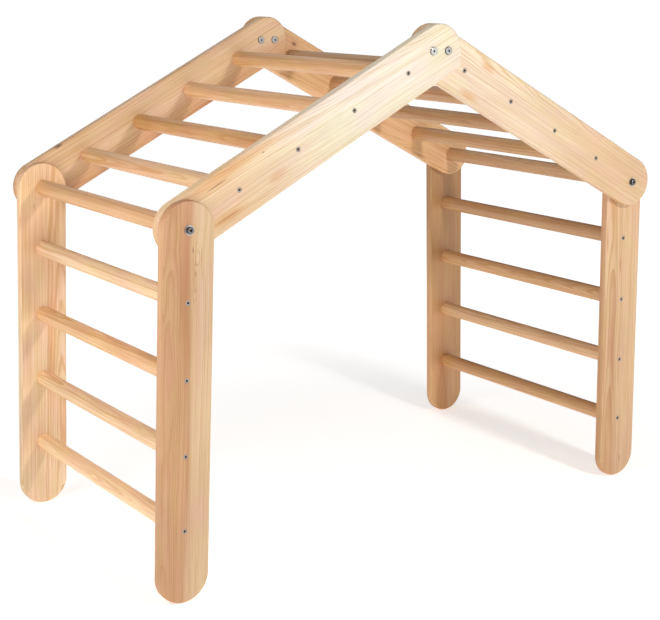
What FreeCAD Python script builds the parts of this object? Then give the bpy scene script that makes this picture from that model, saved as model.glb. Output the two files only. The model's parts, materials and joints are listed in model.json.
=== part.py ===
import FreeCAD, Part
import math
import os
from collections import namedtuple

import Sketcher

# A house-shaped folding climbing frame in pine: four ladder panels in a chain. Two make the
# pitched roof, bolted rigid at the ridge. One hangs from each eave on a round axle, the knee, and
# stands on the floor. X is the span, +Y runs along the rungs from the near side to the far side,
# and Z is up. The origin is on the floor, midway between the four feet.
# Every piece is drawn about its own working axis, along Y, and only ever turned about Y.

# All sizes are in millimetres and degrees.
SIZES = {
    "board_width": 103,
    "board_thickness": 20,
    "board_reach": 635,         # knee axis to the middle of the foot or of the ridge
    "board_rounding": 4,
    "heel_rounding": 6,         # blunted corner under the ridge
    "inner_width": 600,         # between the two boards of one panel
    "roof_angle": 27.5,
    "leg_splay": 1.9,
    "rung_diameter": 33,
    "rung_chamfer": 1.2,
    "rung_count": 4,            # in each panel, besides the knee axle
    "first_rung": 128,          # knee axis to the nearest rung
    "rung_pitch": 140,
    "seat_depth": 8,            # how far a rung's end sits in its board
    "board_gap": 0.3,           # between boards that turn against each other
    "axle_clearance": 0.1,      # radial, where a board turns on the axle
    "knee_thread": 8,
    "knee_hole": 8.6,
    "knee_bolt_length": 35,
    "knee_head_diameter": 14,
    "knee_head_height": 4.4,
    "knee_head_rounding": 2.6,
    "knee_key": 5,
    "washer_diameter": 18,
    "washer_hole": 8.4,
    "washer_thickness": 1.6,
    "washer_play": 0.1,         # at the end where the bolt turns in its board
    "insert_diameter": 12,
    "insert_length": 20,
    "axle_bore": 32,            # depth of the bolt's bore in the axle
    "screw_head": 10,
    "screw_sink": 0.5,          # head below the face of the board
    "screw_shank": 7,
    "screw_core": 5,
    "screw_length": 50,
    "screw_tip": 4,
    "screw_key": 4,
    "pilot_depth": 40,
    "ridge_spacing": 36,
    "ridge_thread": 6,
    "ridge_bolt_length": 34,
    "ridge_head_diameter": 16,
    "ridge_head_height": 2.6,
    "ridge_head_rounding": 1,
    "ridge_key": 4,
    "sleeve_diameter": 9,
    "sleeve_length": 30,
    "sleeve_bore": 27,
    "bolt_tip": 1,              # chamfer at the end of every bolt
    "key_depth": 2.4,           # of every hexagon socket
}

LEAST_CUT = 1       # cubic millimetres: a cut that takes less than this has missed its body
SAME_PLACE = 0.01   # millimetres: nearer than this is the same place
CORNER_REACH = 1    # millimetres from the heel's corner within which its edge is found

NEAR = 1        # a board on the near side faces out along -Y, so its inward way is +Y
FAR = -1
SIDES = {"near": NEAR, "far": FAR}
LEFT = -1
RIGHT = 1

doc = FreeCAD.newDocument("climbing_frame")
sheet = doc.addObject("Spreadsheet::Sheet", "Sizes")
for row, (alias, value) in enumerate(SIZES.items(), start=1):
    sheet.set(f"A{row}", alias)
    sheet.set(f"B{row}", str(value))
    sheet.setAlias(f"B{row}", alias)
doc.recompute()

nodes = []

# Expressions that several pieces share.
OVERALL_DEPTH = "(Sizes.inner_width + 5 * Sizes.board_thickness + 2 * Sizes.board_gap)"
PANEL_DEPTH = "(Sizes.inner_width + 2 * Sizes.board_thickness)"
KNEE_X = "(Sizes.board_reach * cos(Sizes.roof_angle))"
KNEE_Z = "(Sizes.board_width / 2 + Sizes.board_reach * cos(Sizes.leg_splay))"
RIDGE_Z = f"({KNEE_Z} + Sizes.board_reach * sin(Sizes.roof_angle))"
WOOD_UNDER_SEAT = "(Sizes.board_thickness - Sizes.seat_depth)"


# ---------------------------------------------------------------- sketch and feature helpers

def number(expression):
    return float(sheet.evalExpression(expression))


def new_body(name):
    body = doc.addObject("PartDesign::Body", name)
    body.Label = name
    nodes.append(body)
    return body


def place(body, across, along, up, turn="0"):
    """Puts a body at X, Y, Z and turns it about Y, all by expression."""
    spot = f"create(<<vector>>; {across}; {along}; {up})"
    spin = f"create(<<rotation>>; create(<<vector>>; 0; 1; 0); {turn})"
    body.setExpression("Placement", f"create(<<placement>>; {spot}; {spin})")


def new_sketch(body, name, plane, lift=None):
    """A sketch on one of the body's own planes, lifted along the plane's normal."""
    sketch = body.newObject("Sketcher::SketchObject", name)
    support = next(item for item in body.Origin.OriginFeatures if item.Role == plane)
    sketch.AttachmentSupport = [(support, "")]
    sketch.MapMode = "FlatFace"
    if lift:
        sketch.setExpression("AttachmentOffset.Base.z", lift)
    return sketch


def constrain(sketch, name, kind, expression, *where):
    """A named size in a sketch, bound to an expression."""
    index = sketch.addConstraint(Sketcher.Constraint(kind, *where, number(expression)))
    sketch.renameConstraint(index, name)
    sketch.setExpression(f"Constraints.{name}", expression)


def fix_point(sketch, name, edge, end, across, up):
    """Puts a point of an edge at a place in the sketch given by two expressions."""
    for kind, axis, expression in (("DistanceX", -2, across), ("DistanceY", -1, up)):
        if number(expression) == 0:
            sketch.addConstraint(Sketcher.Constraint("PointOnObject", edge, end, axis))
        else:
            constrain(sketch, name + kind, kind, expression, edge, end)


def add_polygon(sketch, corners):
    """A closed outline of straight edges through corners given as expressions."""
    points = [FreeCAD.Vector(number(across), number(up), 0) for across, up in corners]
    ends = points[1:] + points[:1]
    edges = [sketch.addGeometry(Part.LineSegment(*pair)) for pair in zip(points, ends)]
    for edge, after in zip(edges, edges[1:] + edges[:1]):
        sketch.addConstraint(Sketcher.Constraint("Coincident", edge, 2, after, 1))
    for edge, (across, up) in zip(edges, corners):
        fix_point(sketch, f"corner{edge}", edge, 1, across, up)


def add_circle(sketch, name, across, up, diameter):
    centre = FreeCAD.Vector(number(across), number(up), 0)
    normal = FreeCAD.Vector(0, 0, 1)
    circle = sketch.addGeometry(Part.Circle(centre, normal, number(diameter) / 2))
    fix_point(sketch, name, circle, 3, across, up)
    constrain(sketch, name + "Diameter", "Diameter", diameter, circle)


def finish_feature(feature):
    feature.Refine = True
    doc.recompute()
    return feature


def add_pocket(body, name, sketch, reverse, depth=None):
    """Cuts a sketch into the body to a depth, or right through it."""
    before = body.Shape.Volume
    pocket = body.newObject("PartDesign::Pocket", name)
    pocket.Profile = sketch
    pocket.Reversed = reverse
    if depth:
        pocket.Type = "Length"
        pocket.setExpression("Length", depth)
    else:
        pocket.Type = "ThroughAll"
    finish_feature(pocket)
    if body.Shape.Volume > before - LEAST_CUT:
        raise RuntimeError(f"{body.Label}: {name} cuts nothing")
    return pocket


def add_fillet(body, name, radius, wanted):
    """Rounds the edges of the body's last feature that pass the test."""
    base = body.Tip
    edges = [f"Edge{i}" for i, edge in enumerate(base.Shape.Edges, start=1) if wanted(edge)]
    fillet = body.newObject("PartDesign::Fillet", name)
    fillet.Base = (base, edges)
    fillet.setExpression("Radius", radius)
    return finish_feature(fillet)


def repeat_along_x(body, originals, pitch, count):
    row_axis = next(item for item in body.Origin.OriginFeatures if item.Role == "X_Axis")
    pattern = body.newObject("PartDesign::LinearPattern", "row")
    pattern.Originals = originals
    pattern.Direction = (row_axis, [""])
    pattern.Mode = "Spacing"
    pattern.setExpression("Offset", pitch)
    pattern.setExpression("Occurrences", count)
    body.Tip = pattern
    return finish_feature(pattern)


def turned(name, section, inward=NEAR):
    """A body of revolution about Y from a half-section of (radius, distance inward) pairs."""
    body = new_body(name)
    sketch = new_sketch(body, "section", "XY_Plane")
    add_polygon(sketch, [(radius, f"{inward} * ({depth})") for radius, depth in section])
    doc.recompute()
    revolution = body.newObject("PartDesign::Revolution", "turning")
    revolution.Profile = sketch
    revolution.ReferenceAxis = (sketch, ["V_Axis"])
    revolution.Angle = 360
    finish_feature(revolution)
    return body


def add_key_socket(body, inward, top, across_flats):
    """Cuts a hexagon socket inward from the flat top of a head."""
    sketch = new_sketch(body, "key_outline", "XZ_Plane", lift=f"{-inward} * ({top})")
    corner = f"{across_flats} / 3 ^ 0.5"
    turns = range(0, 360, 60)
    add_polygon(sketch, [(f"{corner} * cos({a})", f"{corner} * sin({a})") for a in turns])
    doc.recompute()
    return add_pocket(body, "key_socket", sketch, inward == FAR, "Sizes.key_depth")


# ---------------------------------------------------------------- boards

def add_slab(body, inward):
    """The blank of every board: a plank from the knee out to +X, with two half-round ends."""
    half = number("Sizes.board_width / 2")
    reach = number("Sizes.board_reach")
    quarter = math.pi / 2
    knee = FreeCAD.Vector(0, 0, 0)
    far_end = FreeCAD.Vector(reach, 0, 0)
    edge_side = FreeCAD.Vector(0, half, 0)
    normal = FreeCAD.Vector(0, 0, 1)
    sketch = new_sketch(body, "outline", "XZ_Plane")
    edges = [sketch.addGeometry(shape) for shape in (
        Part.ArcOfCircle(Part.Circle(knee, normal, half), quarter, 3 * quarter),
        Part.LineSegment(knee - edge_side, far_end - edge_side),
        Part.ArcOfCircle(Part.Circle(far_end, normal, half), -quarter, quarter),
        Part.LineSegment(far_end + edge_side, knee + edge_side),
    )]
    for edge, after in zip(edges, edges[1:] + edges[:1]):
        sketch.addConstraint(Sketcher.Constraint("Tangent", edge, 2, after, 1))
    knee_arc, _, end_arc, _ = edges
    sketch.addConstraint(Sketcher.Constraint("Coincident", knee_arc, 3, -1, 1))
    sketch.addConstraint(Sketcher.Constraint("PointOnObject", end_arc, 3, -1))
    sketch.addConstraint(Sketcher.Constraint("Equal", knee_arc, end_arc))
    constrain(sketch, "half_width", "Radius", "Sizes.board_width / 2", knee_arc)
    constrain(sketch, "reach", "DistanceX", "Sizes.board_reach", end_arc, 3)
    doc.recompute()
    pad_board(body, "slab", sketch, inward)


def pad_board(body, name, sketch, inward):
    pad = body.newObject("PartDesign::Pad", name)
    pad.Profile = sketch
    pad.setExpression("Length", "Sizes.board_thickness")
    pad.Reversed = inward == NEAR
    finish_feature(pad)


def add_ridge_heel(body, inward, under):
    """Fills the rail's ridge end out to a plumb cut under the round, then blunts its corner."""
    half = "Sizes.board_width / 2"
    blunt = f"{half} * (1 - sin(Sizes.roof_angle)) / cos(Sizes.roof_angle)"
    corner = (f"Sizes.board_reach + {blunt}", f"{under} * {half}")
    sketch = new_sketch(body, "heel_outline", "XZ_Plane")
    add_polygon(sketch, [
        ("Sizes.board_reach", "0"),
        (f"Sizes.board_reach + {half} * cos(Sizes.roof_angle)",
         f"{under} * {half} * sin(Sizes.roof_angle)"),
        corner,
        ("Sizes.board_reach", f"{under} * {half}"),
    ])
    doc.recompute()
    pad_board(body, "heel", sketch, inward)
    corner_x, corner_z = (number(expression) for expression in corner)

    def is_heel_corner(edge):
        middle = edge.CenterOfMass
        return math.hypot(middle.x - corner_x, middle.z - corner_z) < CORNER_REACH

    add_fillet(body, "heel_corner", "Sizes.heel_rounding", is_heel_corner)


def round_board(body):
    """Rounds both faces' outlines all the way round."""
    def is_rim(edge):
        return edge.BoundBox.YLength < SAME_PLACE

    add_fillet(body, "rounding", "Sizes.board_rounding", is_rim)


def add_screw_row(body, inward):
    """Countersunk screw holes from the outer face, with a seat for each rung behind them."""
    screws = new_sketch(body, "screw_centre", "XZ_Plane")
    add_circle(screws, "screw", "Sizes.first_rung", "0", "Sizes.screw_shank")
    doc.recompute()
    before = body.Shape.Volume
    hole = body.newObject("PartDesign::Hole", "screw_hole")
    hole.Profile = screws
    doc.recompute()
    hole.Reversed = inward == FAR
    hole.DepthType = "ThroughAll"
    hole.ThreadType = "None"
    hole.setExpression("Diameter", "Sizes.screw_shank")
    hole.HoleCutType = "Countersink"
    hole.HoleCutCustomValues = True
    hole.setExpression("HoleCutDiameter", "Sizes.screw_head + 2 * Sizes.screw_sink")
    hole.HoleCutCountersinkAngle = 90
    finish_feature(hole)
    if body.Shape.Volume > before - LEAST_CUT:
        raise RuntimeError(f"{body.Label}: the screw hole cuts nothing")
    seat = add_inner_pocket(body, "rung_seat", inward, "Sizes.first_rung", "Sizes.rung_diameter")
    repeat_along_x(body, [hole, seat], "Sizes.rung_pitch", "Sizes.rung_count")


def add_inner_pocket(body, name, inward, across, diameter):
    """A blind round seat in the board's inner face."""
    sketch = new_sketch(body, name + "_outline", "XZ_Plane", f"{-inward} * Sizes.board_thickness")
    add_circle(sketch, name, across, "0", diameter)
    doc.recompute()
    return add_pocket(body, name, sketch, inward == NEAR, "Sizes.seat_depth")


def add_through_holes(body, name, inward, diameter, spots):
    """Round holes right through the board, from its outer face."""
    sketch = new_sketch(body, name + "_outline", "XZ_Plane")
    for index, (across, up) in enumerate(spots):
        add_circle(sketch, f"hole{index}", across, up, diameter)
    doc.recompute()
    add_pocket(body, name, sketch, inward == FAR)


def add_knee(body, inward, outer, turns):
    """The axle's hole or, in an outer board, its seat and the knee bolt's hole.

    A board that turns on the axle has running clearance, and one that holds it has none.
    """
    clearance = "2 * Sizes.axle_clearance" if turns else "0"
    axle_hole = f"Sizes.rung_diameter + {clearance}"
    if outer:
        add_inner_pocket(body, "axle_seat", inward, "0", axle_hole)
        add_through_holes(body, "knee_bolt_hole", inward, "Sizes.knee_hole", [("0", "0")])
    else:
        add_through_holes(body, "axle_hole", inward, axle_hole, [("0", "0")])


def add_ridge_holes(body, inward, under):
    """Two holes level with each other, astride the ridge, for the sleeve nuts."""
    along = "Sizes.ridge_spacing / 2 * cos(Sizes.roof_angle)"
    aside = f"{under} * Sizes.ridge_spacing / 2 * sin(Sizes.roof_angle)"
    spots = [
        (f"Sizes.board_reach + {along}", aside),
        (f"Sizes.board_reach - {along}", f"-1 * {aside}"),
    ]
    add_through_holes(body, "ridge_holes", inward, "Sizes.sleeve_diameter", spots)


def make_post(name, inward, outer):
    body = new_body(name)
    add_slab(body, inward)
    round_board(body)
    add_screw_row(body, inward)
    add_knee(body, inward, outer, turns=False)
    return body


def make_rail(name, inward, outer, under):
    body = new_body(name)
    add_slab(body, inward)
    add_ridge_heel(body, inward, under)
    round_board(body)
    add_screw_row(body, inward)
    add_knee(body, inward, outer, turns=True)
    add_ridge_holes(body, inward, under)
    return body


# ---------------------------------------------------------------- round pieces

def rod_section(length, bore_steps):
    """Half-section of a chamfered dowel, with the same stepped bore in both ends.

    bore_steps are (radius, depth) pairs from the mouth inward.
    """
    radius = "Sizes.rung_diameter / 2"
    start = []
    depth_so_far = "0"
    for bore_radius, depth in bore_steps:
        start += [(bore_radius, depth_so_far), (bore_radius, depth)]
        depth_so_far = depth
    start.append(("0", depth_so_far))
    end = [(bore_radius, f"{length} - ({depth})") for bore_radius, depth in reversed(start)]
    skin = [
        (f"{radius} - Sizes.rung_chamfer", length),
        (radius, f"{length} - Sizes.rung_chamfer"),
        (radius, "Sizes.rung_chamfer"),
        (f"{radius} - Sizes.rung_chamfer", "0"),
    ]
    return start + end + skin


def make_rung(name):
    length = "(Sizes.inner_width + 2 * Sizes.seat_depth)"
    return turned(name, rod_section(length, [("Sizes.screw_core / 2", "Sizes.pilot_depth")]))


def make_axle(name):
    length = f"({PANEL_DEPTH} + Sizes.board_thickness - 2 * {WOOD_UNDER_SEAT})"
    bore = [
        ("Sizes.insert_diameter / 2", "Sizes.insert_length"),
        ("Sizes.knee_hole / 2", "Sizes.axle_bore"),
    ]
    return turned(name, rod_section(length, bore))


def make_screws(name, inward):
    """A row of four wood screws, with their heads just under the board's face."""
    head = "Sizes.screw_head / 2"
    shank = "Sizes.screw_shank / 2"
    core = "Sizes.screw_core / 2"
    tip = "Sizes.screw_sink + Sizes.screw_length"
    body = turned(name, [
        ("0", "Sizes.screw_sink"),
        (head, "Sizes.screw_sink"),
        (shank, f"Sizes.screw_sink + {head} - {shank}"),
        (shank, WOOD_UNDER_SEAT),
        (core, WOOD_UNDER_SEAT),
        (core, f"{tip} - Sizes.screw_tip"),
        ("0", tip),
    ], inward)
    turning = body.Tip
    socket = add_key_socket(body, inward, "Sizes.screw_sink", "Sizes.screw_key")
    repeat_along_x(body, [turning, socket], "Sizes.rung_pitch", "Sizes.rung_count")
    return body


def add_head_rounding(body, inward, kind):
    """Rounds the rim of a bolt's or nut's head, before its socket is cut."""
    top = -inward * number(f"Sizes.{kind}_head_height")

    def is_top_rim(edge):
        box = edge.BoundBox
        return abs(box.YMin - top) < SAME_PLACE and abs(box.YMax - top) < SAME_PLACE

    add_fillet(body, "head_rounding", f"Sizes.{kind}_head_rounding", is_top_rim)


def headed(name, inward, kind, shank):
    """A flat-seated head at -Y of its seat, with a hexagon socket, on a shank's half-section."""
    head = f"Sizes.{kind}_head_diameter / 2"
    height = f"Sizes.{kind}_head_height"
    body = turned(name, [("0", f"-{height}"), (head, f"-{height}"), (head, "0")] + shank, inward)
    add_head_rounding(body, inward, kind)
    return body


def make_bolt(name, inward, kind):
    radius = f"Sizes.{kind}_thread / 2"
    length = f"Sizes.{kind}_bolt_length"
    shank = [
        (radius, "0"),
        (radius, f"{length} - Sizes.bolt_tip"),
        (f"{radius} - Sizes.bolt_tip", length),
        ("0", length),
    ]
    body = headed(name, inward, kind, shank)
    add_key_socket(body, inward, f"-Sizes.{kind}_head_height", f"Sizes.{kind}_key")
    return body


def make_sleeve_nut(name, inward):
    outside = "Sizes.sleeve_diameter / 2"
    inside = "Sizes.ridge_thread / 2"
    length = "Sizes.sleeve_length"
    bottom = f"{length} - Sizes.sleeve_bore"
    barrel = [(outside, "0"), (outside, length), (inside, length), (inside, bottom), ("0", bottom)]
    body = headed(name, inward, "ridge", barrel)
    add_key_socket(body, inward, "-Sizes.ridge_head_height", "Sizes.ridge_key")
    return body


def make_tube(name, inward, inner, outer, length):
    return turned(name, [(inner, "0"), (outer, "0"), (outer, length), (inner, length)], inward)


# ---------------------------------------------------------------- assembly

# Each panel lies one board further along Y than the panel before it, so that its boards pass
# beside that panel's boards at their shared joint. The turn is its boards' way from the knee,
# counted about Y from +X. In each pair that shares a knee, the first panel's board is outermost
# on the near side, and the second panel's on the far side.
Panel = namedtuple("Panel", "name hand kind boards_before gaps_before turn")
PANELS = (
    Panel("left_ladder", LEFT, "ladder", 0, 0, "(90 + Sizes.leg_splay)"),
    Panel("left_roof", LEFT, "roof", 1, 1, "(-Sizes.roof_angle)"),
    Panel("right_roof", RIGHT, "roof", 2, 1, "(180 + Sizes.roof_angle)"),
    Panel("right_ladder", RIGHT, "ladder", 3, 2, "(90 - Sizes.leg_splay)"),
)


def outer_face(panel, inward):
    """Y of the outer face of the panel's near or far board."""
    near_face = (f"(-{OVERALL_DEPTH} / 2 + {panel.boards_before} * Sizes.board_thickness"
                 f" + {panel.gaps_before} * Sizes.board_gap)")
    return near_face if inward == NEAR else f"({near_face} + {PANEL_DEPTH})"


def place_on_panel(body, panel, distance, along):
    """Puts a body at a distance from the knee axis, turned with the panel's boards."""
    across = f"{panel.hand} * {KNEE_X} + ({distance}) * cos({panel.turn})"
    up = f"{KNEE_Z} - ({distance}) * sin({panel.turn})"
    place(body, across, along, up, panel.turn)


def build_panel(index, panel):
    for side, inward in SIDES.items():
        outer = (index % 2 == 0) == (inward == NEAR)
        if panel.kind == "ladder":
            board = make_post(f"{panel.name}_{side}_post", inward, outer)
        else:
            board = make_rail(f"{panel.name}_{side}_rail", inward, outer, panel.hand)
        place_on_panel(board, panel, "0", outer_face(panel, inward))
        screws = make_screws(f"{panel.name}_{side}_screws", inward)
        place_on_panel(screws, panel, "Sizes.first_rung", outer_face(panel, inward))
    for rung_index in range(int(number("Sizes.rung_count"))):
        rung = make_rung(f"{panel.name}_rung_{rung_index + 1}")
        distance = f"Sizes.first_rung + {rung_index} * Sizes.rung_pitch"
        place_on_panel(rung, panel, distance, f"{outer_face(panel, NEAR)} + {WOOD_UNDER_SEAT}")


def build_knee(name, near_panel, far_panel):
    """The axle, held at its ladder's end and running at its roof's end, and its two bolts."""
    across = f"{near_panel.hand} * {KNEE_X}"
    for side, inward, panel in (("near", NEAR, near_panel), ("far", FAR, far_panel)):
        runs = panel.kind == "roof"
        face = outer_face(panel, inward)
        play = "Sizes.washer_play" if runs else "0"
        rod_play = "Sizes.board_gap" if runs else "0"
        washer_seat = f"{face} - {inward} * ({play} + Sizes.washer_thickness)"
        rod_end = f"{face} + {inward} * ({WOOD_UNDER_SEAT} + {rod_play})"
        washer = make_tube(f"{name}_{side}_washer", inward, "Sizes.washer_hole / 2",
                           "Sizes.washer_diameter / 2", "Sizes.washer_thickness")
        place(washer, across, washer_seat, KNEE_Z)
        bolt = make_bolt(f"{name}_{side}_bolt", inward, "knee")
        place(bolt, across, washer_seat, KNEE_Z)
        insert = make_tube(f"{name}_{side}_insert", inward, "Sizes.knee_thread / 2",
                           "Sizes.insert_diameter / 2", "Sizes.insert_length")
        place(insert, across, rod_end, KNEE_Z)
        if inward == NEAR:
            place(make_axle(f"{name}_axle"), across, rod_end, KNEE_Z)


def build_ridge(left_roof, right_roof):
    """Four bolts through the crossed rail ends, heads outside and sleeve nuts inside."""
    for side, inward, outer, inner in (
        ("near", NEAR, left_roof, right_roof),
        ("far", FAR, right_roof, left_roof),
    ):
        nut_face = f"{outer_face(inner, inward)} + {inward} * Sizes.board_thickness"
        for hand_name, hand in (("left", LEFT), ("right", RIGHT)):
            across = f"{hand} * Sizes.ridge_spacing / 2"
            bolt = make_bolt(f"ridge_{side}_{hand_name}_bolt", inward, "ridge")
            place(bolt, across, outer_face(outer, inward), RIDGE_Z)
            nut = make_sleeve_nut(f"ridge_{side}_{hand_name}_sleeve_nut", -inward)
            place(nut, across, nut_face, RIDGE_Z)


for panel_index, one_panel in enumerate(PANELS):
    build_panel(panel_index, one_panel)
build_knee("left_knee", PANELS[0], PANELS[1])
build_knee("right_knee", PANELS[2], PANELS[3])
build_ridge(PANELS[1], PANELS[2])
doc.recompute()

for item in doc.Objects:
    if "Invalid" in item.State or "Error" in item.State:
        raise RuntimeError(f"{item.Name} failed: {item.State}")
for node in nodes:
    if node.Shape.isNull() or not node.Shape.isValid():
        raise RuntimeError(f"{node.Label} has no valid shape")

os.makedirs("parts", exist_ok=True)
for node in nodes:
    node.Shape.exportStep(f"parts/{node.Label}.step")
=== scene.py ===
"""The looks of a wooden climbing frame: two rung ladders hinged under a pitched roof of rungs.

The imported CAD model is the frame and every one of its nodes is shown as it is. What is made here is
each piece's material: a solid piece of pine with its own growth rings, knots and heartwood for every
board and dowel, and plated steel for every bolt, screw, nut and washer. Lengths are in metres, except
inside the wood's own axes, which are in millimetres.
"""

import json
import math
import random
from collections import namedtuple

import bpy
from mathutils import Matrix, Quaternion, Vector


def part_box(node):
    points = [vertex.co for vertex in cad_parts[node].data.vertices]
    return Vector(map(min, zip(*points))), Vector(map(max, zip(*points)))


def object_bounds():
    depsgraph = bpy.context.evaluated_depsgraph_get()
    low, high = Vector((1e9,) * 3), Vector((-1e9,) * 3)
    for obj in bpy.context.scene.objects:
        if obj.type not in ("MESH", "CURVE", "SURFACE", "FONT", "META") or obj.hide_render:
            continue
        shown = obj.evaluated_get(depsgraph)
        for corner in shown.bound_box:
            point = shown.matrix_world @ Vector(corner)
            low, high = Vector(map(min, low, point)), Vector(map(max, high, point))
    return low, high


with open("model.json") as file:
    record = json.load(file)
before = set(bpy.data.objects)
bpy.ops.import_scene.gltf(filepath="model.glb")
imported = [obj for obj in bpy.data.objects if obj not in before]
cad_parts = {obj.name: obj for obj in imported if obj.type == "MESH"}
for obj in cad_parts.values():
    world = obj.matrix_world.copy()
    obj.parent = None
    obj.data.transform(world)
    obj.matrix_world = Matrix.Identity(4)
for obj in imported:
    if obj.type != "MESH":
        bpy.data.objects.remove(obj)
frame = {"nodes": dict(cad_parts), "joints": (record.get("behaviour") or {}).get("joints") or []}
cad_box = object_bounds()
nodes = frame["nodes"]
lowest, highest = cad_box
centre = (lowest + highest) / 2

MILLIMETRE = 0.001
NEAR = Vector((0, -1, 0))       # from the frame towards its near side
ALONG_RUNGS = Vector((0, 1, 0))

# ---------------------------------------------------------------- camera, floor and light

VIEW_AZIMUTH = math.radians(-34.777)
VIEW_ELEVATION = math.radians(12.883)
VIEW_ROLL = math.radians(0.479)
VIEW_DISTANCE = 3.0509
VIEW_AIM = Vector((-0.0294, -0.0080, -0.1019))     # from the middle of the frame's box
LENS = 76.65                                    # millimetres
SENSOR_WIDTH = 36                               # millimetres

FLOOR_SIZE = 400.0
FLOOR_DARK = (0.93, 0.93, 0.925)
FLOOR_PALE = (0.96, 0.96, 0.955)
SKY_GLOW = (1.03, 0.13)         # how brightly the studio glows at floor level, and above
SKY_RANGE = (math.sin(math.radians(5)), math.sin(math.radians(9)))
FLOOR_GLOW = (0.51, 0.90)       # how brightly the floor glows near the frame, and far from it
FLOOR_GLOW_RANGE = (0.4, 2.4)

# Each lamp: azimuth and elevation round the frame in degrees, distance, side length, watts
LAMPS = {
    "key": (9, 26, 3.0, 0.3, 35.0),
    "left": (-80, 20, 1.6, 0.8, 8.5),
    "high": (-10, 68, 1.9, 1.2, 4.5),
    "back": (170, 35, 2.6, 1.8, 9.0),
}


def direction_from(azimuth, elevation):
    """Unit vector towards an azimuth and elevation, in radians. Azimuth 0 is the near side."""
    level = math.cos(elevation)
    return Vector((math.sin(azimuth) * level, -math.cos(azimuth) * level, math.sin(elevation)))


def add_camera():
    data = bpy.data.cameras.new("camera")
    data.sensor_width = SENSOR_WIDTH
    data.lens = LENS
    camera = bpy.data.objects.new("camera", data)
    bpy.context.scene.collection.objects.link(camera)
    back = direction_from(VIEW_AZIMUTH, VIEW_ELEVATION)
    camera.location = centre + VIEW_AIM + back * VIEW_DISTANCE
    camera.rotation_mode = "QUATERNION"
    facing = (-back).to_track_quat("-Z", "Y")
    camera.rotation_quaternion = facing @ Quaternion((0, 0, 1), VIEW_ROLL)
    bpy.context.scene.camera = camera


def add_lamps():
    for name, (azimuth, elevation, distance, side, watts) in LAMPS.items():
        data = bpy.data.lights.new(name, "AREA")
        data.size = side
        data.energy = watts
        lamp = bpy.data.objects.new(name, data)
        bpy.context.scene.collection.objects.link(lamp)
        towards = direction_from(math.radians(azimuth), math.radians(elevation))
        lamp.location = centre + towards * distance
        lamp.rotation_mode = "QUATERNION"
        lamp.rotation_quaternion = (-towards).to_track_quat("-Z", "Y")


def add_studio():
    """White walls round the floor, which end in a dimmer ceiling."""
    world = bpy.data.worlds.new("studio")
    world.use_nodes = True
    background = world.node_tree.nodes["Background"]
    background.inputs["Color"].default_value = (1.0, 1.0, 1.0, 1)
    graph = Graph(world.node_tree)
    _, direction = graph.node("ShaderNodeTexCoord")
    up = graph.split(direction)[2]
    graph.feed(background.inputs["Strength"], graph.step(up, *SKY_RANGE, *SKY_GLOW))
    bpy.context.scene.world = world
    bpy.context.scene.view_settings.view_transform = "Standard"


def add_floor():
    half = FLOOR_SIZE / 2
    mesh = bpy.data.meshes.new("floor")
    corners = [(-half, -half, 0), (half, -half, 0), (half, half, 0), (-half, half, 0)]
    mesh.from_pydata(corners, [], [(0, 1, 2, 3)])
    floor = bpy.data.objects.new("floor", mesh)
    floor.location = (centre.x, centre.y, lowest.z)
    bpy.context.scene.collection.objects.link(floor)
    material, graph, shader = new_material("pale_floor")
    cloud = graph.noise(graph.place(), (0.6, 0.6, 0.6), detail=2)
    graph.feed(shader.inputs["Base Color"], graph.blend(cloud, FLOOR_DARK, FLOOR_PALE))
    shader.inputs["Roughness"].default_value = 0.9
    from_frame = graph.vector("LENGTH", graph.place())
    shader.inputs["Emission Color"].default_value = (1, 1, 1, 1)
    graph.feed(shader.inputs["Emission Strength"], graph.step(from_frame, *FLOOR_GLOW_RANGE, *FLOOR_GLOW))
    mesh.materials.append(material)


# ---------------------------------------------------------------- node graphs

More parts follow.
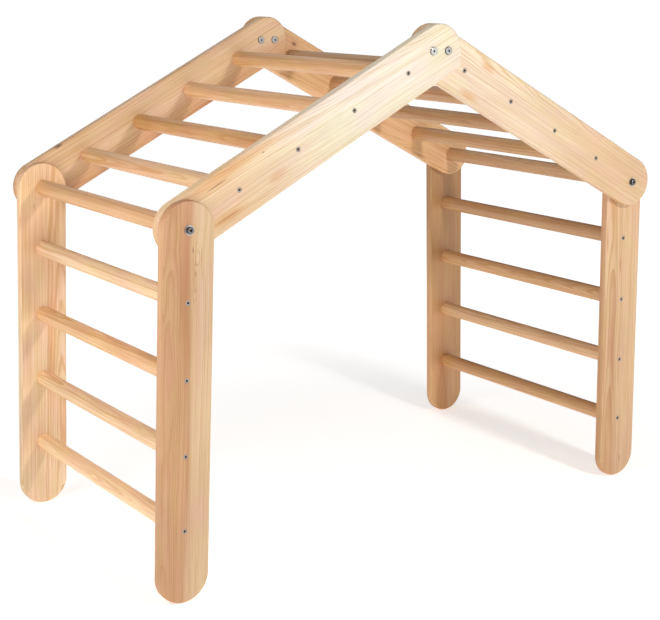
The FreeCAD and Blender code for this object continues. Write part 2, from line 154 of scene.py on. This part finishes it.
class Graph:
    """Adds nodes to one material. Each call takes numbers, colours or sockets and returns a socket."""

    def __init__(self, tree):
        self.tree = tree

    def feed(self, socket, value):
        if isinstance(value, bpy.types.NodeSocket):
            self.tree.links.new(value, socket)
        elif isinstance(value, (tuple, list, Vector)) and socket.type == "RGBA":
            socket.default_value = (*value[:3], 1)
        else:
            socket.default_value = value

    def node(self, kind, output=0, **settings):
        node = self.tree.nodes.new(kind)
        for key, value in settings.items():
            setattr(node, key, value)
        return node, node.outputs[output]

    def math(self, operation, *values):
        node, result = self.node("ShaderNodeMath", operation=operation)
        for socket, value in zip(node.inputs, values):
            self.feed(socket, value)
        return result

    def vector(self, operation, *values):
        scalar = operation in ("LENGTH", "DOT_PRODUCT")
        node, result = self.node("ShaderNodeVectorMath", 1 if scalar else 0, operation=operation)
        for socket, value in zip(node.inputs, values):
            self.feed(socket, value)
        return result

    def multiply(self, colour, by):
        return self.blend(1.0, colour, by, "MULTIPLY")

    def normal(self):
        node, _ = self.node("ShaderNodeTexCoord")
        return node.outputs["Normal"]

    def place(self, axes=None, origin=(0, 0, 0), scale=1.0):
        """The point being shaded, in the object's own axes or in the given ones, at the given scale."""
        node, _ = self.node("ShaderNodeTexCoord")
        point = node.outputs["Object"]
        if axes is None:
            return point
        node, result = self.node("ShaderNodeMapping", vector_type="TEXTURE")
        self.feed(node.inputs["Vector"], point)
        node.inputs["Location"].default_value = origin
        node.inputs["Rotation"].default_value = Matrix(axes).transposed().to_euler("XYZ")
        node.inputs["Scale"].default_value = (scale, scale, scale)
        return result

    def split(self, vector):
        node, _ = self.node("ShaderNodeSeparateXYZ")
        self.feed(node.inputs[0], vector)
        return node.outputs["X"], node.outputs["Y"], node.outputs["Z"]

    def noise(self, point, per_unit, detail=2.0, roughness=0.5, colour=False):
        """Noise about 0.5, with a frequency for each axis; colour=True gives three at once."""
        node, _ = self.node("ShaderNodeTexNoise", noise_dimensions="3D")
        self.feed(node.inputs["Vector"], self.vector("MULTIPLY", point, per_unit))
        node.inputs["Scale"].default_value = 1.0
        node.inputs["Detail"].default_value = detail
        node.inputs["Roughness"].default_value = roughness
        return node.outputs["Color" if colour else "Fac"]

    def noise_line(self, value, detail=1.0):
        node, _ = self.node("ShaderNodeTexNoise", noise_dimensions="1D")
        self.feed(node.inputs["W"], value)
        node.inputs["Scale"].default_value = 1.0
        node.inputs["Detail"].default_value = detail
        return node.outputs["Fac"]

    def chance(self, value):
        """A number from 0 to 1 that belongs to each whole number."""
        node, _ = self.node("ShaderNodeTexWhiteNoise", noise_dimensions="1D")
        self.feed(node.inputs["W"], value)
        return node.outputs["Value"]

    def step(self, value, low, high, start=0.0, end=1.0):
        """Goes smoothly from start to end as value goes from low to high."""
        node, result = self.node("ShaderNodeMapRange", interpolation_type="SMOOTHSTEP")
        for socket, given in zip(node.inputs, (value, low, high, start, end)):
            self.feed(socket, given)
        return result

    def blend(self, factor, first, second, mode="MIX"):
        node, _ = self.node("ShaderNodeMix", data_type="RGBA", blend_type=mode)
        self.feed(node.inputs[0], factor)
        self.feed(node.inputs[6], first)
        self.feed(node.inputs[7], second)
        return node.outputs[2]

    def bump(self, height, depth, strength=1.0):
        node, result = self.node("ShaderNodeBump")
        self.feed(node.inputs["Height"], height)
        node.inputs["Distance"].default_value = depth
        node.inputs["Strength"].default_value = strength
        return result


def new_material(name):
    material = bpy.data.materials.new(name)
    material.use_nodes = True
    shader = material.node_tree.nodes["Principled BSDF"]
    return material, Graph(material.node_tree), shader


def put_on(node, material):
    for slot in nodes[node].material_slots:
        slot.material = material


# ---------------------------------------------------------------- pine

# Linear colours of planed pine under a clear satin finish
SAP_PALE = (0.77, 0.56, 0.37)
SAP_DARK = (0.62, 0.36, 0.17)
HEART_PALE = (0.65, 0.38, 0.20)
HEART_DARK = (0.53, 0.26, 0.11)
KNOT_PALE = (0.48, 0.24, 0.10)
KNOT_DARK = (0.12, 0.05, 0.02)
PITCH = (0.22, 0.10, 0.04)
WOOD_RELIEF = 0.12 * MILLIMETRE

TONE_AND_PAINTED_LIGHT_CHANGE = (80.0, 400.0)     # where a board goes from its first tone to its second, from its knee; the tones hold painted light and shade as well as the wood's own tone

# What a mark multiplies the wood's colour by, and how strongly
MARK_TINTS = {
    "faint": ((0.95, 0.82, 0.66), 0.70),
    "pale": ((1.04, 1.09, 1.16), 0.90),
    "warm": ((0.90, 0.68, 0.46), 0.75),
    "tan": ((0.82, 0.68, 0.56), 0.80),
    "pink": ((0.90, 0.72, 0.62), 0.75),
    "line": ((0.70, 0.52, 0.36), 0.60),
}

# A knot, pitch streak, coloured patch or swirl in the rings lies at `along` and `across` on its board,
# in millimetres. It is `radius` wide each way, `stretch` times as long, and pushes the rings aside by
# `swell`.
Mark = namedtuple("Mark", "kind along across radius stretch swell")

# pith: how far the tree's centre lies across and behind the middle of the board. lean: how the centre
# drifts from that along the board. ring: ring width. heart: radius of the heartwood. tones, with painted
# light: how bright the piece is and how much warmer than plain, at its start and its end, which holds
# painted light and shade as well as the wood's own tone. contrast: how strongly late wood shows.
Look = namedtuple("Look", "pith lean ring heart tones contrast seed marks")


def pine(name, axes, origin, look, outline=None):
    """A solid piece of pine. axes are its own directions: along the grain, across, and through it."""
    material, graph, shader = new_material(name)
    point = graph.place(axes, origin, MILLIMETRE)
    wood = graph.vector("ADD", point, Vector((911.0, 57.0, 31.0)) * look.seed)
    radius, fields = tree_radius(graph, point, wood, look)
    late, band = growth_rings(graph, radius, look)
    fibre = graph.noise(wood, (0.05, 2.2, 2.2), 3, 0.6)
    canal = graph.step(graph.noise(wood, (0.09, 1.3, 1.3), 1), 0.68, 0.80, 0.0, 0.45)
    colour = wood_colour(graph, wood, radius, late, band, fibre, look)
    colour = graph.blend(canal, colour, graph.multiply(colour, (0.62, 0.45, 0.32)))
    for mark, distance in fields:
        colour = paint_mark(graph, colour, mark, distance)

    facing = graph.math("ABSOLUTE", graph.vector("DOT_PRODUCT", graph.normal(), tuple(axes[0])))
    end_grain = graph.step(facing, 0.45, 1.0)
    colour = graph.blend(end_grain, colour, graph.multiply(colour, (0.84, 0.74, 0.64)))
    # A paler arris all round: wear, with a painted highlight
    if outline:
        colour = rub_and_light_edges(graph, colour, point, outline, fibre)
    # Each end's tint is the wood's own tone with painted light and shade in it
    start, end = (tint_of(*tone) for tone in look.tones)
    along = graph.step(graph.split(point)[0], *TONE_AND_PAINTED_LIGHT_CHANGE)
    graph.feed(shader.inputs["Base Color"], graph.multiply(colour, graph.blend(along, start, end)))

    rough = graph.math("MULTIPLY_ADD", late, -0.12, 0.52)
    rough = graph.math("MULTIPLY_ADD", graph.math("SUBTRACT", fibre, 0.5), 0.22, rough)
    graph.feed(shader.inputs["Roughness"], graph.math("MULTIPLY_ADD", end_grain, 0.15, rough))
    height = graph.math("MULTIPLY_ADD", late, 0.5, graph.math("MULTIPLY", fibre, 0.8))
    height = graph.math("MULTIPLY_ADD", canal, -0.8, height)
    graph.feed(shader.inputs["Normal"], graph.bump(height, WOOD_RELIEF, 0.6))
    shader.inputs["Coat Weight"].default_value = 0.12
    shader.inputs["Coat Roughness"].default_value = 0.35
    return material


def tint_of(bright, warm):
    return bright, bright * (1 - 0.45 * warm), bright * (1 - warm)


def tree_radius(graph, point, wood, look):
    """Distance from the tree's centre line, which leans and wanders, and from each mark's middle."""
    lean = graph.vector("SCALE", (0.0, *look.lean))
    graph.feed(lean.node.inputs["Scale"], graph.split(point)[0])
    centre_line = graph.vector("ADD", lean, (0.0, *look.pith))
    wander = graph.vector("SUBTRACT", graph.noise(wood, (0.003, 0.009, 0.009), 2, colour=True), (0.5,) * 3)
    ripple = graph.vector("SUBTRACT", graph.noise(wood, (0.015, 0.05, 0.05), 2, colour=True), (0.5,) * 3)
    bent = graph.vector("ADD", point, graph.vector("MULTIPLY", wander, (0.0, 15.0, 15.0)))
    bent = graph.vector("ADD", bent, graph.vector("MULTIPLY", ripple, (0.0, 1.6, 1.6)))
    spoke = graph.vector("MULTIPLY", graph.vector("SUBTRACT", bent, centre_line), (0.0, 1.0, 1.0))
    radius = graph.vector("LENGTH", spoke)
    ragged = graph.vector("SUBTRACT", graph.noise(wood, (0.03, 0.4, 0.4), 2, colour=True), (0.5,) * 3)
    fields = []
    for mark in look.marks:
        offset = graph.vector("SUBTRACT", point, (mark.along, mark.across, 0.0))
        loose = 0.35 * mark.radius
        offset = graph.vector("ADD", offset, graph.vector("MULTIPLY", ripple, (loose * 8, loose, 0.0)))
        offset = graph.vector("ADD", offset, graph.vector("MULTIPLY", ragged, (loose * 8, loose * 2, 0.0)))
        offset = graph.vector("MULTIPLY", offset, (1 / mark.stretch, 1.0, 0.0))
        distance = graph.math("DIVIDE", graph.vector("LENGTH", offset), mark.radius)
        fields.append((mark, distance))
        if mark.swell:
            falling = graph.math("MULTIPLY", graph.math("POWER", distance, 1.4), -0.35)
            radius = graph.math("MULTIPLY_ADD", graph.math("EXPONENT", falling), mark.swell, radius)
    return radius, fields


def growth_rings(graph, radius, look):
    """Late wood, which darkens slowly and ends sharply, and broad bands of slow and fast years."""
    uneven = graph.noise_line(graph.math("MULTIPLY_ADD", radius, 0.11, look.seed * 7.3), 2)
    count = graph.math("DIVIDE", radius, look.ring)
    count = graph.math("MULTIPLY_ADD", uneven, 2.4, count)
    phase = graph.math("FRACT", count)
    late = graph.math("MULTIPLY", graph.step(phase, 0.30, 0.86), graph.step(phase, 0.90, 1.0, 1.0, 0.0))
    bold = graph.chance(graph.math("ADD", graph.math("FLOOR", count), look.seed * 13.0))
    late = graph.math("MULTIPLY", late, graph.math("MULTIPLY_ADD", bold, 0.75, 0.25))
    band = graph.noise_line(graph.math("MULTIPLY_ADD", radius, 0.16, look.seed * 3.1), 2)
    return late, graph.step(band, 0.35, 0.72)


def wood_colour(graph, wood, radius, late, band, fibre, look):
    """Sapwood and heartwood, shaded by rings, fibre, streaks and slow clouds drawn out along the grain."""
    streak = graph.noise(wood, (0.006, 0.22, 0.22), 3, 0.55)
    grain = graph.step(graph.noise(wood, (0.005, 0.5, 0.5), 2, 0.65), 0.34, 0.66, -0.5, 0.5)
    cloud = graph.noise(wood, (0.006, 0.02, 0.02), 2)
    blush = graph.noise(wood, (0.011, 0.035, 0.035), 2)
    shade = graph.math("MULTIPLY", late, look.contrast)
    shade = graph.math("MULTIPLY_ADD", band, 0.30 * look.contrast, shade)
    shade = graph.math("MULTIPLY_ADD", graph.math("SUBTRACT", streak, 0.5), 0.9 * look.contrast, shade)
    shade = graph.math("MULTIPLY_ADD", graph.math("SUBTRACT", fibre, 0.5), 0.48, shade)
    shade = graph.math("MULTIPLY_ADD", grain, 0.52 * look.contrast, shade)
    shade = graph.math("ADD", shade, 0.08)
    shade.node.use_clamp = True
    sap = graph.blend(shade, SAP_PALE, SAP_DARK)
    heart = graph.blend(shade, HEART_PALE, HEART_DARK)
    edge = graph.math("MULTIPLY_ADD", graph.math("SUBTRACT", cloud, 0.5), 14.0, radius)
    edge = graph.math("MULTIPLY_ADD", graph.math("SUBTRACT", streak, 0.5), 12.0, edge)
    inside = graph.step(edge, look.heart - 7.0, look.heart + 7.0, 1.0, 0.0)
    colour = graph.blend(inside, sap, heart)
    clouded = graph.blend(graph.step(cloud, 0.3, 0.7), (1.03, 1.02, 1.0), (0.95, 0.92, 0.88))
    blushed = graph.blend(graph.step(blush, 0.35, 0.65), (1.01, 0.97, 1.02), (1.0, 1.02, 0.95))
    return graph.multiply(graph.multiply(colour, clouded), blushed)


def paint_mark(graph, colour, mark, distance):
    """Lays one mark over the wood. distance is from the mark's middle, in its own radii."""
    if mark.kind == "swirl":
        return colour
    if mark.kind == "loop":
        ring = graph.step(graph.math("FRACT", graph.math("MULTIPLY", distance, 1.4)), 0.45, 0.95)
        amount = graph.math("MULTIPLY", ring, graph.step(distance, 0.9, 1.6, 0.7, 0.0))
        return graph.blend(amount, colour, graph.multiply(colour, (0.76, 0.62, 0.46)))
    if mark.kind == "pitch":
        return graph.blend(graph.step(distance, 0.4, 1.3, 0.85, 0.0), colour, PITCH)
    if mark.kind != "knot":
        tint, strength = MARK_TINTS[mark.kind]
        amount = graph.step(distance, 0.3, 1.5, strength, 0.0)
        return graph.blend(amount, colour, graph.multiply(colour, tint))
    ring = graph.math("FRACT", graph.math("MULTIPLY", distance, 3.2))
    inner = graph.blend(graph.step(ring, 0.2, 0.9), KNOT_PALE, KNOT_DARK)
    inner = graph.blend(graph.step(distance, 0.72, 0.95), inner, KNOT_DARK)
    halo = graph.step(distance, 1.0, 2.6, 0.55, 0.0)
    colour = graph.blend(halo, colour, graph.multiply(colour, (0.74, 0.52, 0.36)))
    return graph.blend(graph.step(distance, 0.92, 1.12, 1.0, 0.0), colour, inner)


def rub_and_light_edges(graph, colour, point, outline, fibre):
    """Makes a board's arris a little paler, as wear and as a painted highlight along the rounded edge.
    outline is (knee end to far end, half the width).
    """
    length, half = outline
    along, across, _ = graph.split(point)
    held = graph.math("MINIMUM", graph.math("MAXIMUM", along, 0.0), length)
    node, offset = graph.node("ShaderNodeCombineXYZ")
    graph.feed(node.inputs["X"], graph.math("SUBTRACT", along, held))
    graph.feed(node.inputs["Y"], across)
    reach = graph.math("MULTIPLY_ADD", fibre, 1.6, graph.vector("LENGTH", offset))
    wear_and_highlight = graph.step(reach, half - 3.0, half + 0.5, 0.0, 0.35)
    return graph.blend(wear_and_highlight, colour, graph.multiply(colour, (1.06, 1.02, 0.96)))


# ---------------------------------------------------------------- boards

BOARD_LOOKS = {
    "left_ladder_near_post": Look(
        (-32, -30), (-0.022, 0.012), 2.3, 58, ((0.87, 0.02), (0.93, 0.02)), 0.85, 1, (
            Mark("tan", 130, -4, 14, 11.0, 0),
            Mark("tan", 440, 6, 4, 45.0, 0),
            Mark("swirl", 50, 17, 9, 2.6, 8),
            Mark("loop", 50, 17, 7.5, 2.7, 0),
            Mark("loop", 92, 13, 4.5, 6.0, 0),
            Mark("pitch", 35, 8, 1.3, 4.5, 0),
            Mark("pale", 540, -43, 11, 7.0, 0),
        )),
    "left_roof_near_rail": Look(
        (68, -50), (-0.02, 0.035), 2.5, 0, ((1.0, -0.07), (1.02, -0.61)), 0.8, 2, (
            Mark("warm", 90, 40, 13, 5.5, 0),
            Mark("faint", 170, 42, 9, 8.0, 0),
            Mark("pitch", 92, 31.5, 1.1, 22.0, 0),
            Mark("warm", 84, -30, 10, 4.0, 0),
            Mark("line", 85, -30, 2.0, 14.0, 0),
            Mark("pitch", 201, 34, 1.1, 3.5, 0),
            Mark("swirl", 215, -12, 14, 2.6, 6),
            Mark("pink", 209, -20, 9, 2.4, 0),
            Mark("pale", 480, 5, 50, 3.0, 0),
        )),
    "right_roof_near_rail": Look(
        (-66, -40), (0.03, -0.03), 1.9, 0, ((0.93, 0.01), (1.0, -0.3)), 0.75, 3, (
            Mark("line", 482, -4, 0.9, 75.0, 0),
            Mark("warm", 512, 38, 8, 3.0, 0),
            Mark("warm", 495, -32, 8, 2.5, 0),
            Mark("pitch", 136, -47, 1.0, 1.5, 0),
            Mark("pale", 560, 0, 45, 1.8, 0),
        )),
    "right_ladder_near_post": Look(
        (-32, -40), (0.002, 0.01), 2.3, 47, ((0.92, 0.07), (0.91, 0.1)), 0.85, 4, (
            Mark("warm", 186, -6, 4, 4.0, 3),
            Mark("tan", 370, -24, 8, 22.0, 0),
            Mark("line", 82, -6, 0.7, 30.0, 0),
            Mark("pitch", 646, 9, 1.0, 9.0, 0),
        )),
    "left_ladder_far_post": Look(
        (40, -46), (0.004, 0.02), 2.4, 0, ((1.06, 0.07), (1.04, -0.11)), 1.0, 5, (
            Mark("pitch", 37, -21, 0.8, 8.0, 0),
            Mark("line", 94, 23, 1.2, 16.0, 0),
            Mark("line", 130, 14, 1.0, 50.0, 0),
            Mark("warm", 330, 20, 9, 16.0, 0),
        )),
    "left_roof_far_rail": Look(
        (-56, -46), (0.004, 0.0), 2.4, 64, ((0.86, 0.12), (0.88, 0.03)), 1.0, 6, (
            Mark("pitch", 80, 50, 2.6, 4.0, 0),
        )),
    "right_roof_far_rail": Look(
        (54, -50), (0.02, -0.03), 2.5, 0, ((0.97, 0.28), (0.97, 0.28)), 1.0, 7, (
            Mark("knot", 556, -29, 3.2, 1.4, 6),
            Mark("knot", 562, -3, 3.2, 1.4, 6),
        )),
    # Painted shade: this post's knee end is darker and browner than its foot
    "right_ladder_far_post": Look(
        (-20, -36), (0.01, 0.014), 2.4, 40, ((0.57, 0.47), (0.92, 0.36)), 0.9, 8, ()),
}

joints = {joint["name"]: Vector(joint["pos_m"]) for joint in frame["joints"]}


def board_ends(name):
    """The middles of a board's knee end and far end, and half its width."""
    low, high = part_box(name)
    middle = (low + high) / 2
    knee = joints[name.split("_")[0] + "_knee"].copy()
    knee.y = middle.y
    far = 2 * middle - knee
    if name.endswith("_rail"):
        far.x = centre.x        # a rail ends under the ridge, and its heel reaches past that
    return knee, far, min(high.z - knee.z, knee.z - low.z)


def paint_boards():
    for name, look in BOARD_LOOKS.items():
        knee, far, half_width = board_ends(name)
        along = (far - knee).normalized()
        outline = ((far - knee).length / MILLIMETRE, half_width / MILLIMETRE)
        put_on(name, pine(name, (along, NEAR.cross(along), NEAR), knee, look, outline))


# ---------------------------------------------------------------- rungs and axles

# How bright each dowel is, and how much warmer than plain. Besides each stick's own tone, these hold
# painted light and shade: the right roof's rungs are darkened as painted shade, and the left ladder's
# rungs, rung 4 most, are brightened as painted light.
DOWEL_TONES_WITH_PAINTED_LIGHT = {
    "left_knee_axle": (0.89, 0.33),
    "left_ladder_rung_1": (1.11, -0.03),
    "left_ladder_rung_2": (1.11, 0.24),
    "left_ladder_rung_3": (1.19, 0.06),
    "left_ladder_rung_4": (1.39, 0.05),
    "left_roof_rung_1": (1.02, 0.15),
    "left_roof_rung_2": (0.84, 0.48),
    "left_roof_rung_3": (1.03, 0.26),
    "left_roof_rung_4": (0.96, 0.3),
    "right_roof_rung_1": (0.77, 0.36),
    "right_roof_rung_2": (0.68, 0.4),
    "right_roof_rung_3": (0.75, 0.29),
    "right_roof_rung_4": (0.76, 0.22),
    "right_knee_axle": (0.75, 0.28),
    "right_ladder_rung_1": (0.74, 0.33),
    "right_ladder_rung_2": (0.94, 0.29),
    "right_ladder_rung_3": (1.09, 0.11),
    "right_ladder_rung_4": (0.92, 0.36),
}


def paint_dowels():
    """Every dowel is turned from its own stick, so its rings and twist are its own; its tint is its own
    tone with painted light and shade in it.
    """
    dice = random.Random(7)
    dowels = sorted(name for name in nodes if "rung" in name or "axle" in name)
    for number, name in enumerate(dowels):
        low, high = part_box(name)
        middle = (low + high) / 2
        turn = dice.uniform(0, math.tau)
        across = Vector((math.cos(turn), 0, math.sin(turn)))
        axes = (ALONG_RUNGS, across, ALONG_RUNGS.cross(across))
        lean = (dice.uniform(-0.012, 0.012), dice.uniform(0.008, 0.03))
        pith = (dice.uniform(-20, 20), dice.uniform(-55, -22))
        ring, contrast = dice.uniform(2.2, 3.4), dice.uniform(0.95, 1.3)
        look = Look(pith, lean, ring, 0, (DOWEL_TONES_WITH_PAINTED_LIGHT[name],) * 2, contrast, 20 + number, ())
        put_on(name, pine(name, axes, middle, look))


# ---------------------------------------------------------------- steel

# The colour of the painted shade on a head's sides and in its socket
PAINTED_SHADE = (0.03, 0.026, 0.024)
STEEL_RELIEF = 0.03 * MILLIMETRE


def steel(name, look, face):
    """Plated steel, clouded and finely turned, with painted shade on the side of its head and in its
    socket.

    face is (Y of the head's outer face, the way inward from it).
    """
    colour, roughness, side = look
    material, graph, shader = new_material(name)
    point = graph.place()
    cloud = graph.noise(point, (420.0, 420.0, 420.0), 3, 0.6)
    speck = graph.noise(point, (2600.0, 2600.0, 2600.0), 2, 0.5)
    lines = graph.noise(point, (700.0, 9000.0, 700.0), 2, 0.6)
    tone = graph.blend(graph.step(cloud, 0.35, 0.7), colour, tuple(part * 0.68 for part in colour))
    tone = graph.blend(graph.step(speck, 0.62, 0.78, 0.0, 0.5), tone, tuple(part * 0.55 for part in colour))
    # Painted shade: the sides of a head, turned away from the Y axis, are darkened
    upright = graph.math("ABSOLUTE", graph.vector("DOT_PRODUCT", graph.normal(), (0, 1, 0)))
    tone = graph.blend(graph.step(upright, 0.5, 0.97, side, 0.0), tone, PAINTED_SHADE)
    # Painted shade in the socket: darker the deeper it lies below the head's outer face
    outermost, inward = face
    depth = graph.math("MULTIPLY", graph.math("SUBTRACT", graph.split(point)[1], outermost), inward)
    tone = graph.blend(graph.step(depth, 0.3 * MILLIMETRE, 1.6 * MILLIMETRE, 0.0, side), tone, PAINTED_SHADE)
    graph.feed(shader.inputs["Base Color"], tone)
    shader.inputs["Metallic"].default_value = 1.0
    rough = graph.math("MULTIPLY_ADD", graph.math("SUBTRACT", cloud, 0.5), 0.35, roughness)
    rough = graph.math("MULTIPLY_ADD", graph.math("SUBTRACT", lines, 0.5), 0.2, rough)
    graph.feed(shader.inputs["Roughness"], rough)
    height = graph.math("MULTIPLY_ADD", lines, 0.6, graph.math("MULTIPLY", speck, 0.4))
    graph.feed(shader.inputs["Normal"], graph.bump(height, STEEL_RELIEF, 0.5))
    return material


KNEE_BOLT = ((0.22, 0.21, 0.21), 0.34, 0.80)

# Each kind of steel, by the end of its nodes' names: colour, roughness, and how dark the painted shade on
# its head's sides and in its socket is
STEEL_LOOKS = {
    "screws": ((0.42, 0.36, 0.31), 0.42, 0.95),
    "left_bolt": ((0.74, 0.73, 0.71), 0.36, 0.85),
    "right_bolt": ((0.58, 0.57, 0.56), 0.36, 0.90),
    "knee_near_bolt": KNEE_BOLT,
    "knee_far_bolt": KNEE_BOLT,
    "sleeve_nut": ((0.50, 0.49, 0.48), 0.36, 0.85),
    "washer": ((0.66, 0.65, 0.64), 0.32, 0.45),
    "insert": ((0.62, 0.60, 0.56), 0.50, 0.30),
}


def paint_steel():
    for name in nodes:
        kind = next((kind for kind in STEEL_LOOKS if name.endswith(kind)), None)
        if kind is None:
            continue
        low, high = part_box(name)
        faces_near = (low.y + high.y) / 2 < centre.y
        if kind == "sleeve_nut":
            faces_near = not faces_near
        put_on(name, steel(name, STEEL_LOOKS[kind], (low.y, 1) if faces_near else (high.y, -1)))


add_camera()
add_lamps()
add_studio()
add_floor()
paint_boards()
paint_dowels()
paint_steel()
